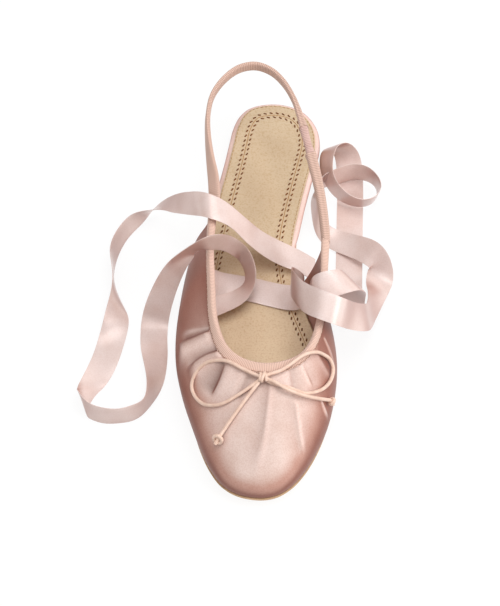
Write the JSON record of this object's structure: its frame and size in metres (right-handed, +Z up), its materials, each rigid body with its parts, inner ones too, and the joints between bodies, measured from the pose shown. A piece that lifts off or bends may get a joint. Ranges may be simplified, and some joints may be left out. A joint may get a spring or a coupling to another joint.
{
  "type": "ballet flat",
  "caption": "Satin slingback ballet flat for the right foot: pleated vamp with a cord bow, open heel, elastic heel strap and long tie ribbons, on a thin leather sole.",
  "frame": {"origin": "on the floor, under the middle of the box around the shoe without its ribbons and bow", "axes": "+Z up, +Y towards the heel, -Y towards the toe, +X towards the medial side"},
  "size_m": [0.159, 0.2405, 0.0603],
  "materials": {
    "heel_lift": "matte",
    "outsole_leather": "matte",
    "rim_satin": "satin",
    "sock_suede": "matte",
    "upper_satin": "satin",
    "elastic": "matte",
    "sleeve_satin": "satin",
    "ribbon_satin": "satin",
    "bow_cord": "matte"
  },
  "bodies": {
    "root": {"heel_lift": "heel_lift", "outsole": "outsole_leather", "footbed": "rim_satin", "insole": "sock_suede", "upper": "upper_satin", "binding": "elastic", "strap_long": "elastic", "strap_sleeve": "sleeve_satin", "strap_short": "elastic", "ribbon_lateral": "ribbon_satin", "ribbon_medial": "ribbon_satin", "bow_knot": "bow_cord", "bow_loop_lateral": "bow_cord", "bow_loop_medial": "bow_cord", "bow_end_lateral": "bow_cord", "bow_end_medial": "bow_cord"}
  },
  "joints": []
}
